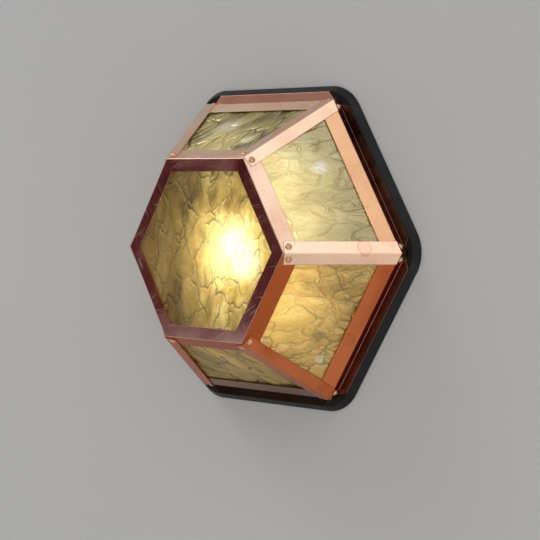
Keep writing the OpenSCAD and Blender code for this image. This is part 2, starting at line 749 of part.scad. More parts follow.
module earth_screw() color(brass) wall_frame() translate(earth) {
    washer_t = 1;
    screw_through(washer_t);
    translate([0, 0, pan_height]) difference() {
        cylinder(h = washer_t, r = screw_head_d * 0.65);
        translate([0, 0, -1]) cylinder(h = washer_t + 2, r = screw_d / 2 + screw_play);
    }
}

// Leads: a round tube swept along a smooth curve through the route's points

lead_sides = 8;
lead_steps = 3;

function bend_at(p, i) = p[max(0, min(len(p) - 1, i))];
function smooth(p, i, t) =
    let (a = bend_at(p, i - 1), b = bend_at(p, i), c = bend_at(p, i + 1), d = bend_at(p, i + 2))
    0.5 * (2 * b + (c - a) * t + (2 * a - 5 * b + 4 * c - d) * t ^ 2 + (3 * b - a - 3 * c + d) * t ^ 3);
function curve(p) = concat([for (i = [0:len(p) - 2], j = [0:lead_steps - 1]) smooth(p, i, j / lead_steps)], [p[len(p) - 1]]);
function unit(v) = v / norm(v);
function heading(p, i) = unit(bend_at(p, i + 1) - bend_at(p, i - 1));
function carried(p, i) = i == 0 ? unit(cross(heading(p, 0), [0, 0, 1])) :
    let (h = heading(p, i), n = carried(p, i - 1)) unit(n - (n * h) * h);

module swept_lead(route) {
    p = curve(route);
    rings = [for (i = [0:len(p) - 1]) let (h = heading(p, i), n = carried(p, i), b = cross(h, n))
        for (s = [0:lead_sides - 1]) let (a = 360 * s / lead_sides) p[i] + lead_d / 2 * (cos(a) * n + sin(a) * b)];
    last = (len(p) - 1) * lead_sides;
    polyhedron(rings, concat(
        [[for (s = [0:lead_sides - 1]) s]],
        [[for (s = [lead_sides - 1:-1:0]) last + s]],
        [for (i = [0:len(p) - 2], s = [0:lead_sides - 1]) let (t = (s + 1) % lead_sides, o = i * lead_sides)
            [o + s, o + lead_sides + s, o + lead_sides + t, o + t]]), convexity = 6);
}

module live_lead() color("brown") wall_frame() swept_lead(lead_route(-1, -1));

module neutral_lead() color("royalblue") wall_frame() swept_lead(lead_route(0, 1));

wall_pan();
cable_grommet();
shade_springs();
spring_screws();
holder_bracket();
bracket_screws();
lampholder();
screw_shell();
centre_contact();
spigot_nut();
lamp();
terminal_block();
terminal_sleeves();
terminal_screws();
block_screw();
earth_screw();
live_lead();
neutral_lead();
front_ring();
rib(0);  // rib_right
rib(1);  // rib_upper_right
rib(2);  // rib_upper_left
rib(3);  // rib_left
rib(4);  // rib_lower_left
rib(5);  // rib_lower_right
rail(0);  // rail_top
rail(1);  // rail_upper_left
rail(2);  // rail_lower_left
rail(3);  // rail_bottom
rail(4);  // rail_lower_right
rail(5);  // rail_upper_right
front_rivets();
rim_rivets();
front_pane();
side_pane(0);  // pane_top
side_pane(1);  // pane_upper_left
side_pane(2);  // pane_lower_left
side_pane(3);  // pane_bottom
side_pane(4);  // pane_lower_right
side_pane(5);  // pane_upper_right
pane_clips();
front_pane_clips();
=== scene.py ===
import math
import bmesh
import bpy
from mathutils import Matrix, Vector


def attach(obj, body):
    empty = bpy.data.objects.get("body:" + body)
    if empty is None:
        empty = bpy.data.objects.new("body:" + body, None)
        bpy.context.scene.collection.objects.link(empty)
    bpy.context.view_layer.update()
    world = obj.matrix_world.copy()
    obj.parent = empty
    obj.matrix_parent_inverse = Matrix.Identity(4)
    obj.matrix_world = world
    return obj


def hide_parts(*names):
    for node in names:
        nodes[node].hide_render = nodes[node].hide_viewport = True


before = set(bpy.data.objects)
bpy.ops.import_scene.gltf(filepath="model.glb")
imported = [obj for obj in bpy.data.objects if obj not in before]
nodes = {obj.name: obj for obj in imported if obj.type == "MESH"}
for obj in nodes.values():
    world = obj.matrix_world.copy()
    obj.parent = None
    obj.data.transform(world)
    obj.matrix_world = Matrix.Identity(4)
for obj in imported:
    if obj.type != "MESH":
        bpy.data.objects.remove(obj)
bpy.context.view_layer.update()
print("solids loaded:", len(nodes))

# the lantern's own sizes in metres, as the solids have them
lantern = {
    "frontFlats": 0.164, "rimFlats": 0.272, "depth": 0.102, "rimHeight": 0.0155,
    "sheet": 0.0008, "glass": 0.003, "glassBed": 0.0003,
}
frontApothem = lantern["frontFlats"] / 2
rimApothem = lantern["rimFlats"] / 2
faceRun = rimApothem - frontApothem
faceDrop = lantern["depth"] - lantern["rimHeight"]
slopeLength = math.hypot(faceRun, faceDrop)
faceTilt = math.atan2(faceDrop, faceRun)
frontHalf = frontApothem * math.tan(math.radians(30))
rimHalf = rimApothem * math.tan(math.radians(30))
skew = math.atan2(rimHalf - frontHalf, slopeLength)
sideNames = ["top", "upper_left", "lower_left", "bottom", "lower_right", "upper_right"]
tolerance = 1e-6

# camera, fitted to the straight edges and corners of the photo
cameraSettings = {
    "place": (0.96583, -1.12599, 0.05566),
    "right": (0.75582735, 0.65470121, 0.00955722),
    "up": (-0.04137561, 0.03318927, 0.99859227),
    "lens": 104.10, "sensor": 36.0, "clipStart": 0.05, "clipEnd": 50,
}


def makeCamera(s):
    data = bpy.data.cameras.new("photoCamera")
    data.lens, data.sensor_width = s["lens"], s["sensor"]
    data.clip_start, data.clip_end = s["clipStart"], s["clipEnd"]
    camera = bpy.data.objects.new("photoCamera", data)
    right, up = Vector(s["right"]).normalized(), Vector(s["up"]).normalized()
    turn = Matrix((right, up, right.cross(up))).transposed().to_4x4()
    camera.matrix_world = Matrix.Translation(s["place"]) @ turn
    bpy.context.scene.collection.objects.link(camera)
    bpy.context.scene.camera = camera


makeCamera(cameraSettings)
print("camera set")


# small helpers for meshes, node trees and materials
def newObject(name, mesh):
    thing = bpy.data.objects.new(name, mesh)
    bpy.context.scene.collection.objects.link(thing)
    return thing


def addNode(tree, kind, inputs=None, **values):
    node = tree.nodes.new(kind)
    for key, value in values.items():
        setattr(node, key, value)
    for key, value in (inputs or {}).items():
        if isinstance(value, bpy.types.NodeSocket):
            tree.links.new(value, node.inputs[key])
        else:
            node.inputs[key].default_value = value
    return node


def rgb(*hundredths):
    return tuple(v / 100 for v in hundredths) + (1.0,)


def newMaterial(name, **shine):
    material = bpy.data.materials.new(name)
    material.use_nodes = True
    tree = material.node_tree
    shader = tree.nodes["Principled BSDF"]
    for key, value in shine.items():
        shader.inputs[key.replace("_", " ")].default_value = value
    place = addNode(tree, "ShaderNodeTexCoord").outputs["Object"]
    return material, tree, shader, place


def noise(tree, place, scale, detail=3.0, rough=0.5, stretch=None, warp=0.0, turn=(0, 0, 0), out="Fac"):
    if stretch:
        mapping = {"Vector": place, "Scale": stretch, "Rotation": turn}
        place = addNode(tree, "ShaderNodeMapping", mapping).outputs[0]
    return addNode(tree, "ShaderNodeTexNoise", {"Vector": place, "Scale": scale, "Detail": detail,
                                                "Roughness": rough, "Distortion": warp}).outputs[out]


def ramp(tree, value, stops, smooth=False):
    node = addNode(tree, "ShaderNodeValToRGB", {"Fac": value})
    band = node.color_ramp
    band.interpolation = "EASE" if smooth else "LINEAR"
    while len(band.elements) < len(stops):
        band.elements.new(0.5)
    for element, (at, colour) in zip(band.elements, stops):
        element.position = at
        element.color = colour if isinstance(colour, tuple) else (colour, colour, colour, 1)
    return node.outputs["Color"]


def between(tree, value, start, end, low=0.0, high=1.0, ease="LINEAR"):
    # start to end becomes low to high
    return addNode(tree, "ShaderNodeMapRange", {"Value": value, "From Min": start, "From Max": end,
                                                "To Min": low, "To Max": high},
                   interpolation_type=ease).outputs[0]


def mixColour(tree, factor, a, b):
    return addNode(tree, "ShaderNodeMix", {"Factor": factor, 6: a, 7: b}, data_type="RGBA").outputs[2]


def sums(tree, kind, a, b=0.5, c=0.0):
    return addNode(tree, "ShaderNodeMath", {0: a, 1: b, 2: c}, operation=kind).outputs[0]


def times(tree, a, b):
    return sums(tree, "MULTIPLY", a, b)


def vectors(tree, kind, a, b=(0, 0, 0)):
    node = addNode(tree, "ShaderNodeVectorMath", {0: a, 1: b}, operation=kind)
    return node.outputs["Value" if kind in ("DISTANCE", "DOT_PRODUCT", "LENGTH") else "Vector"]


def scaled(tree, vector, factor):
    return addNode(tree, "ShaderNodeVectorMath", {0: vector, "Scale": factor}, operation="SCALE").outputs[0]


def along(tree, vector, axis):
    return addNode(tree, "ShaderNodeSeparateXYZ", {0: vector}).outputs[axis]


def bump(tree, shader, height, strength, distance, foldRadius=0.0):
    node = addNode(tree, "ShaderNodeBump", {"Height": height, "Strength": strength, "Distance": distance})
    if foldRadius:
        # bent sheet has small round folds that catch the light
        folded = addNode(tree, "ShaderNodeBevel", {"Radius": foldRadius}, samples=4)
        tree.links.new(folded.outputs["Normal"], node.inputs["Normal"])
    tree.links.new(node.outputs["Normal"], shader.inputs["Normal"])


def dress(material, *names):
    for name in names:
        thing = nodes[name]
        thing.data.materials.clear()
        thing.data.materials.append(material)


# copper: colours, then the scales of its patterns per metre, then their strengths
copperSettings = {
    "pale": rgb(96, 66, 49), "plain": rgb(91, 56, 39), "brown": rgb(60, 28, 16), "stain": rgb(66, 36, 25),
    "edge": rgb(94, 60, 46), "skirt": None, "seat": None, "spot": None, "seed": 0.0,
    "roughLow": 0.15, "roughHigh": 0.28, "foldRadius": 0.0008,
    "cloud": 13.0, "waterMarks": 24.0, "waterPatches": 9.0, "smears": 60.0, "fade": 30.0, "polish": 45.0,
    "dents": 9.0, "grain": 700.0, "spotRim": 160.0,
    "waterShare": 0.6, "paintedEdgeShare": 0.8, "spotWander": 0.003, "dentHeight": 4.0, "grainHeight": 0.3,
    "bumpStrength": 0.12, "bumpDistance": 0.0003,
}
# the seat strip lies nearer the wall, the skirt rises from it
foldLevels = {"seatTop": -0.0079, "skirtTop": -0.0149, "foot": 0.001, "blend": 0.0006, "cutFacing": 0.3}


def copperMaterial(name, s):
    material, tree, shader, place = newMaterial(name, Metallic=1.0)
    moved = addNode(tree, "ShaderNodeMapping", {"Vector": place, "Location": (s["seed"], s["seed"], 0)}).outputs[0]
    clouds = noise(tree, moved, s["cloud"], 4, 0.55, warp=0.4)
    body = ramp(tree, clouds, [(0.30, s["plain"]), (0.62, s["pale"])], True)
    # dried water marks: thin rings round scattered points, with a darker middle
    rings = addNode(tree, "ShaderNodeTexVoronoi", {"Vector": moved, "Scale": s["waterMarks"], "Randomness": 1.0},
                    feature="F1").outputs["Distance"]
    rings = ramp(tree, rings, [(0.0, 0.35), (0.15, 0.45), (0.18, 1.0), (0.20, 0.0)], True)
    spots = ramp(tree, noise(tree, moved, s["waterPatches"], 1), [(0.58, 0.0), (0.64, 1.0)])
    body = mixColour(tree, times(tree, times(tree, rings, spots), s["waterShare"]), body, s["stain"])
    # handling marks
    smears = noise(tree, moved, s["smears"], 5, 0.7, stretch=(1, 1, 0.35), warp=1.0)
    body = mixColour(tree, ramp(tree, smears, [(0.56, 0.0), (0.72, 0.4)]), body, s["brown"])
    if s["spot"]:
        away = sums(tree, "MULTIPLY_ADD", noise(tree, place, s["spotRim"], 2), s["spotWander"],
                    vectors(tree, "DISTANCE", place, s["spot"]))
        spot = ramp(tree, away, [(0.0, 0.75), (0.0062, 0.6), (0.0076, 0.0)])
        body = mixColour(tree, spot, body, s["stain"])
    if s["skirt"]:
        # the skirt and the strip on the pan get their own colour per side: painted light and shade, near black where
        # they would mirror the dark pan, with brown patina mixed in
        level = along(tree, place, "Y")
        fade = noise(tree, moved, s["fade"], 4, 0.6)
        skirt = mixColour(tree, ramp(tree, fade, [(0.35, 0.0), (0.75, 0.5)]), s["skirt"], s["brown"])
        seat = mixColour(tree, ramp(tree, fade, [(0.40, 0.0), (0.80, 0.4)]), s["seat"], s["brown"])
        onSkirt = between(tree, level, foldLevels["skirtTop"] - foldLevels["blend"], foldLevels["skirtTop"])
        onSeat = sums(tree, "GREATER_THAN", level, foldLevels["seatTop"])
        body = mixColour(tree, onSeat, mixColour(tree, onSkirt, body, skirt), seat)
        # the fold at the skirt's foot and the cut ends of the strip get a painted line: a painted highlight on most
        # sides, painted shade on the upper ones
        facing = sums(tree, "ABSOLUTE", along(tree, place.node.outputs["Normal"], "Y"))
        cut = times(tree, onSeat, sums(tree, "LESS_THAN", facing, foldLevels["cutFacing"]))
        foot = sums(tree, "GREATER_THAN", level, foldLevels["seatTop"] - foldLevels["foot"])
        foot = times(tree, foot, sums(tree, "SUBTRACT", 1.0, onSeat))
        paintedEdgeLine = times(tree, sums(tree, "MAXIMUM", cut, foot), s["paintedEdgeShare"])
        body = mixColour(tree, paintedEdgeLine, body, s["edge"])
    tree.links.new(body, shader.inputs["Base Color"])
    rough = between(tree, noise(tree, moved, s["polish"], 5, 0.65), 0.3, 0.7, s["roughLow"], s["roughHigh"])
    tree.links.new(rough, shader.inputs["Roughness"])
    # shallow dents and the rolled sheet's grain
    grain = noise(tree, moved, s["grain"], 2, 0.6, stretch=(1, 1, 0.08), turn=(0.2, 0.3, 0.1))
    waves = sums(tree, "ADD", times(tree, noise(tree, moved, s["dents"], 2), s["dentHeight"]),
                 times(tree, grain, s["grainHeight"]))
    bump(tree, shader, waves, s["bumpStrength"], s["bumpDistance"], s["foldRadius"])
    return material


# each side has its own tone, paler above and darker below: painted light and shade for how each side faces the room's
# light
warmCopper = {"pale": rgb(70, 20, 7.5), "plain": rgb(44, 9.8, 3.1), "brown": rgb(34, 9, 3.5), "stain": rgb(38, 12, 5)}
tones = {
    "copperPale": {"skirt": rgb(80, 34, 16), "seat": rgb(80, 34, 16)},
    "copperRivet": {"pale": rgb(92, 54, 33), "plain": rgb(86, 44, 24), "seed": 1.9},
    "copperTop": {"pale": rgb(98, 72, 54), "plain": rgb(95, 63, 45), "brown": rgb(62, 26, 18),
                  "skirt": rgb(95, 57, 42), "seat": rgb(95, 50, 37),
                  "roughLow": 0.3, "roughHigh": 0.4, "seed": 5.2},
    "copperUpper": {"pale": rgb(76, 44, 25), "plain": rgb(66, 34, 18), "edge": rgb(26, 15, 11),
                    "skirt": rgb(26, 9, 5), "seat": rgb(2.6, 1.4, 1.1),
                    "spot": (0.1208, -0.0188, 0.0586), "seed": 3.1},
    "copperWarm": {**warmCopper, "skirt": rgb(86, 20, 6), "seat": rgb(86, 20, 6), "seed": 4.7},
    "copperLower": {**warmCopper, "skirt": rgb(46, 11, 4.6), "seat": rgb(13, 4.2, 2.8), "seed": 6.4},
    "copperBottom": {"pale": rgb(30, 15, 8), "plain": rgb(22, 10, 5), "brown": rgb(14, 6.5, 4),
                     "skirt": rgb(6, 2.4, 1.6), "seat": rgb(3, 1.4, 1.0), "seed": 8.8},
}
coppers = {name: copperMaterial(name, {**copperSettings, **tone}) for name, tone in tones.items()}

# front ring: a flat front coloured dark wine, with flanges as bright as the rest
ringSheet = {**copperSettings, "pale": rgb(90, 63, 48), "plain": rgb(84, 54, 39), "seed": 2.3,
             "roughLow": 0.24, "roughHigh": 0.34}
ringSettings = {
    "dark": rgb(13, 2.4, 2.2), "plain": rgb(26, 6, 5.3), "light": rgb(60, 26, 22), "warm": rgb(48, 11, 3.2),
    "scratch": rgb(90, 60, 52), "worn": rgb(98, 56, 49), "lip": rgb(95, 62, 52),
    "cloud": 18.0, "wornPatches": 26.0, "lipHighlightPatches": 40.0,
    # scratches: turn about the wall's normal, lines per metre, patches per metre
    "scratches": ((0.5, 730.0, 34.0), (-1.0, 790.0, 42.0), (1.7, 910.0, 58.0)),
    "scratchShare": 0.6, "shadeBelow": 0.004, "wornFrom": -0.058, "wornTo": -0.082, "wornShare": 0.95,
    "lipHighlightWide": 0.0007, "frontFacing": -0.93,
}


def ringMaterial(name, s, sheet):
    material = copperMaterial(name, sheet)
    tree = material.node_tree
    shader = tree.nodes["Principled BSDF"]
    coordinates = addNode(tree, "ShaderNodeTexCoord").outputs
    place = coordinates["Object"]
    height = along(tree, place, "Z")
    # painted shade: the lower flanges are as warm and dark as the rails beside them
    low = between(tree, height, s["shadeBelow"], -s["shadeBelow"])
    bright = mixColour(tree, low, shader.inputs["Base Color"].links[0].from_socket, s["warm"])
    clouds = noise(tree, place, s["cloud"], 5, 0.6, warp=0.8)
    wine = ramp(tree, clouds, [(0.32, s["dark"]), (0.52, s["plain"]), (0.76, s["light"])], True)
    scratches = 0.0
    for turn, fine, patches in s["scratches"]:
        turned = addNode(tree, "ShaderNodeMapping", {"Vector": place, "Rotation": (0, turn, 0)}).outputs[0]
        lines = noise(tree, turned, fine, 0, 0.4, stretch=(1.0, 0.0, 0.03))
        patch = ramp(tree, noise(tree, place, patches, 2), [(0.50, 0.0), (0.62, 0.9)])
        lines = times(tree, ramp(tree, lines, [(0.68, 0.0), (0.74, 1.0)]), patch)
        scratches = sums(tree, "MAXIMUM", lines, scratches)
    wine = mixColour(tree, times(tree, scratches, s["scratchShare"]), wine, s["scratch"])
    # rubbed lighter along the bottom
    worn = between(tree, height, s["wornFrom"], s["wornTo"], 0.0, s["wornShare"])
    worn = times(tree, worn, ramp(tree, noise(tree, place, s["wornPatches"], 3), [(0.35, 0.45), (0.6, 1.0)]))
    wine = mixColour(tree, worn, wine, s["worn"])
    # a painted highlight: a bright line where the front folds over, all round the hexagon
    across = 0.0
    for angle in (0, 60, 120):
        outward = (math.sin(math.radians(angle)), 0, math.cos(math.radians(angle)))
        out = sums(tree, "ABSOLUTE", vectors(tree, "DOT_PRODUCT", place, outward))
        across = sums(tree, "MAXIMUM", out, across)
    lip = sums(tree, "GREATER_THAN", across, frontApothem - s["lipHighlightWide"])
    lip = times(tree, lip, ramp(tree, noise(tree, place, s["lipHighlightPatches"], 4, 0.7), [(0.3, 0.25), (0.6, 0.95)]))
    wine = mixColour(tree, lip, wine, s["lip"])
    front = sums(tree, "LESS_THAN", along(tree, coordinates["Normal"], "Y"), s["frontFacing"])
    tree.links.new(mixColour(tree, front, bright, wine), shader.inputs["Base Color"])
    return material


ringCopper = ringMaterial("ringCopper", ringSettings, ringSheet)
dress(ringCopper, "front_ring")
dress(coppers["copperPale"], "rib_left", "rib_right", "rib_upper_right", "rib_upper_left")
dress(coppers["copperWarm"], "rib_lower_left", "rib_lower_right", "pane_clips", "front_pane_clips")
dress(coppers["copperTop"], "rail_top")
dress(coppers["copperUpper"], "rail_upper_left", "rail_upper_right")
dress(coppers["copperLower"], "rail_lower_left", "rail_lower_right")
dress(coppers["copperBottom"], "rail_bottom")
print("copper ready")

# black powder coat of the wall pan
panCoatSettings = {"dark": rgb(0.3, 0.3, 0.3), "light": rgb(0.6, 0.6, 0.6), "roughLow": 0.34, "roughHigh": 0.5,
                   "cloud": 30.0, "polish": 50.0, "grit": 1500.0, "gritStrength": 0.35, "gritDistance": 0.0001}


def panCoatMaterial(s):
    material, tree, shader, place = newMaterial("panCoat", Roughness=0.5, Specular_IOR_Level=0.3)
    colour = ramp(tree, noise(tree, place, s["cloud"], 4), [(0.3, s["dark"]), (0.7, s["light"])])
    rough = ramp(tree, noise(tree, place, s["polish"], 3), [(0.3, s["roughLow"]), (0.7, s["roughHigh"])])
    tree.links.new(colour, shader.inputs["Base Color"])
    tree.links.new(rough, shader.inputs["Roughness"])
    bump(tree, shader, noise(tree, place, s["grit"], 2), s["gritStrength"], s["gritDistance"])
    return material


dress(panCoatMaterial(panCoatSettings), "wall_pan")

# the fittings inside: lighter and darker colour, lowest and highest roughness, marks per metre
fittings = {
    "zinc": {"light": rgb(74, 75, 78), "dark": rgb(56, 57, 60), "rough": (0.25, 0.42), "scale": 120.0, "metal": 1.0,
             "on": ("shade_springs", "spring_screws", "holder_bracket", "bracket_screws", "spigot_nut",
                    "block_screw")},
    "brass": {"light": rgb(80, 62, 30), "dark": rgb(62, 44, 18), "rough": (0.22, 0.4), "scale": 140.0, "metal": 1.0,
              "on": ("screw_shell", "centre_contact", "terminal_sleeves", "terminal_screws", "earth_screw")},
    "ivory": {"light": rgb(84, 81, 72), "dark": rgb(78, 74, 64), "rough": (0.22, 0.34), "scale": 60.0,
              "on": ("lampholder",)},
    "blockWhite": {"light": rgb(82, 80, 75), "dark": rgb(74, 72, 66), "rough": (0.4, 0.55), "scale": 80.0,
                   "on": ("terminal_block",)},
    "rubber": {"light": rgb(4, 4, 4), "dark": rgb(2.4, 2.4, 2.4), "rough": (0.6, 0.8), "scale": 200.0, "lift": 0.3,
               "on": ("cable_grommet",)},
    "brownLead": {"light": rgb(20, 8, 4), "dark": rgb(14, 5, 2.5), "rough": (0.35, 0.5), "scale": 150.0,
                  "on": ("live_lead",)},
    "blueLead": {"light": rgb(6, 18, 50), "dark": rgb(4, 13, 40), "rough": (0.35, 0.5), "scale": 150.0,
                 "on": ("neutral_lead",)},
}
plainFitting = {"metal": 0.0, "lift": 0.15, "liftDistance": 0.0001}


def fittingMaterial(name, s):
    material, tree, shader, place = newMaterial(name, Metallic=s["metal"])
    low, high = s["rough"]
    colour = ramp(tree, noise(tree, place, s["scale"], 4), [(0.3, s["dark"]), (0.7, s["light"])])
    rough = ramp(tree, noise(tree, place, s["scale"] * 2, 3), [(0.3, low), (0.7, high)])
    tree.links.new(colour, shader.inputs["Base Color"])
    tree.links.new(rough, shader.inputs["Roughness"])
    bump(tree, shader, noise(tree, place, s["scale"] * 8, 3), s["lift"], s["liftDistance"])
    return material


for name, fitting in fittings.items():
    dress(fittingMaterial(name, {**plainFitting, **fitting}), *fitting["on"])
print("pan and fittings ready")

# textured amber glass: flat plates whose outer face is raised in wandering cells
glassSettings = {
    # shape: grid step, depth of the domes in a cell, how far the face may stand proud
    "step": 0.0009, "mergeWithin": 2e-5, "dome": 0.36, "proud": 0.0002, "level": 0.86,
    "domeShare": 0.26, "creaseShare": -0.34, "smallShare": 0.16,
    "swells": 1.3, "swellShare": 0.75, "waves": 5.0, "waveShare": 0.08,
    # pattern: how far cells wander, their sizes, and slow drifts of their edges (scale, amount)
    "wander": 0.8, "cells": (1.0, 2.1), "drifts": ((0.55, 2.2), (1.7, 0.6)),
    # finish: gloss, colour clouds, creases with painted shade and the crests beside them with a painted highlight,
    # strings, patches of painted highlight and shade
    "ior": 1.5, "rough": 0.25, "rougher": 1.4, "coat": 0.8, "coatRough": 0.1, "gloss": 0.5, "cloud": 0.55,
    "shadeAndStringShare": 0.6, "veil": 0.14, "veilWide": 0.16, "line": 0.036, "fineLine": 0.03, "fineShare": 0.6,
    "crest": 0.5, "crestAside": (0, 0.055, 0), "crestHighlight": rgb(96, 84, 44),
    "strings": 0.22, "stringScale": 3.2, "patches": [], "patchRim": 90.0, "patchWander": 1.1,
    # fine relief that only shows in the light
    "ripple": 0.6, "rippleScale": 9.0, "striae": 0.12, "striaeScale": 22.0, "fineFold": 0.06,
    "lift": 0.7, "liftDistance": 0.0007,
    # painted glow of the lamp in the pane, from near to far
    "glowMiddle": (0, 0.05, 0), "glowStretch": (1, 1, 1), "near": 0.05, "reach": 0.135,
}
# a patch is its middle, its reach, its colour and its share; pale patches are painted highlights and dark ones
# painted shade
# the upper side panes are painted paler and the lower ones warmer and darker: painted light and shade for how each
# faces the room
upperGlass = {
    "clear": 0.55, "lustre": 0.4, "glow": 1.5, "glowFar": 0.02, "shadeAndStringShare": 0.36, "veil": 0.03, "lift": 0.9,
    "gold": rgb(70, 59, 27), "olive": rgb(62, 50, 22), "pale": rgb(79, 70, 41), "valley": rgb(52, 39, 12),
    "patches": [((0.0832, -0.0435, 0.0929), 0.010, rgb(38, 25, 9), 0.6),
                ((0.0901, -0.0475, 0.0759), 0.010, rgb(97, 95, 86), 0.85)],
}
lowerGlass = {
    "clear": 0.6, "lustre": 0.42, "glow": 1.15, "glowFar": 0.06, "shadeAndStringShare": 0.75, "veil": 0.1, "lift": 0.85,
    "gold": rgb(77, 52, 13), "olive": rgb(60, 40, 9), "pale": rgb(83, 62, 21), "valley": rgb(28, 15, 2.4),
    "crest": 0.6, "crestHighlight": rgb(92, 76, 32),
    "patches": [((0.0891, -0.0478, -0.0773), 0.011, rgb(20, 12, 2.5), 0.75),
                ((0.0847, -0.0364, -0.0992), 0.009, rgb(96, 90, 62), 0.8)],
}
# the top and bottom panes are painted duller and darker for how they face the light, with wide creases; the bottom
# one darker still as painted shade
endGlass = {"clear": 0.6, "coat": 0.0, "gloss": 0.15, "strings": 0.04, "ripple": 0.2, "shadeAndStringShare": 0.95, "veil": 0.16,
            "line": 0.075, "crestAside": (0.11, 0.03, 0)}
topGlass = {
    **endGlass, "lustre": 0.62, "glow": 0.6, "glowFar": 0.02, "cloud": 0.5,
    "gold": rgb(62, 49, 19), "olive": rgb(26, 21, 8), "pale": rgb(96, 86, 52), "valley": rgb(13, 9, 2.6),
    "crest": 0.7, "crestHighlight": rgb(98, 90, 50),
    "patches": [((-0.0197, -0.0488, 0.1152), 0.017, rgb(99, 96, 80), 0.85),
                ((0.0246, -0.0718, 0.1009), 0.012, rgb(99, 94, 68), 0.75),
                ((-0.0434, -0.0670, 0.1038), 0.022, rgb(15, 12, 4), 0.7),
                ((0.0369, -0.0336, 0.1247), 0.016, rgb(22, 17, 6), 0.5)],
}
bottomGlass = {
    **endGlass, "lustre": 0.6, "glow": 0.5, "glowFar": 0.03,
    "gold": rgb(54, 36, 11), "olive": rgb(34, 21, 6), "pale": rgb(66, 48, 17), "valley": rgb(14, 8, 2),
    "crest": 0.55, "crestHighlight": rgb(84, 62, 24),
}
# the front pane's pale patches are painted glow, the white core round the lamp
frontGlass = {
    "clear": 0.84, "lustre": 0.2, "rough": 0.72, "cloud": 0.8, "shadeAndStringShare": 0.9, "veil": 0.2, "lift": 1.0,
    "gold": rgb(63, 48, 14), "olive": rgb(27, 18, 4), "pale": rgb(86, 74, 34), "valley": rgb(8, 4.4, 0.6),
    "crest": 0.75, "crestHighlight": rgb(96, 82, 38),
    "glow": 0.5, "glowFar": 0.0, "reach": 0.088, "glowMiddle": (-0.026, 0.05, 0), "glowStretch": (1, 1, 0.62),
    "patches": [((0.016, -0.1009, 0.004), 0.044, rgb(94, 82, 46), 0.3),
                ((0.0363, -0.1009, 0.0088), 0.028, rgb(99, 94, 76), 0.68),
                ((0.0507, -0.1009, -0.0093), 0.025, rgb(99, 94, 76), 0.68)],
}


def wrinkles(tree, place, s):
    # distance to the nearest crease of the large cells and the small ones
    bent = place
    for scale, share in s["drifts"]:
        wave = noise(tree, place, scale, 2.0, out="Color")
        wave = scaled(tree, vectors(tree, "SUBTRACT", wave, (0.5, 0.5, 0.5)), s["wander"] * share)
        bent = vectors(tree, "ADD", bent, wave)
    large, small = (addNode(tree, "ShaderNodeTexVoronoi", {"Vector": bent, "Scale": scale},
                            feature="DISTANCE_TO_EDGE").outputs["Distance"] for scale in s["cells"])
    presence = ramp(tree, noise(tree, place, 0.8, 2, 0.5), [(0.42, 0.0), (0.60, 1.0)])
    depth = ramp(tree, noise(tree, place, 1.3, 2), [(0.38, 0.3), (0.54, 1.0)])  # a crease fades along its length
    return large, small, presence, depth


def faceFrame(side):
    # side 0 is the top one, the others follow anticlockwise as seen from the room
    angle = math.radians(60 * side)
    out = Vector((-math.sin(angle), 0, math.cos(angle)))
    down = out * math.cos(faceTilt) + Vector((0, math.sin(faceTilt), 0))
    normal = out * math.sin(faceTilt) - Vector((0, math.cos(faceTilt), 0))
    across = down.cross(normal)
    return out * frontApothem - Vector((0, lantern["depth"], 0)), across, down, normal, out


# one blister in the front pane: a small ring with a dimple
blister = {"place": (-0.0014, 0.0014, 0), "nowhere": (1, 1, 0), "radius": 0.0026, "wide": 0.0018, "share": 0.3}


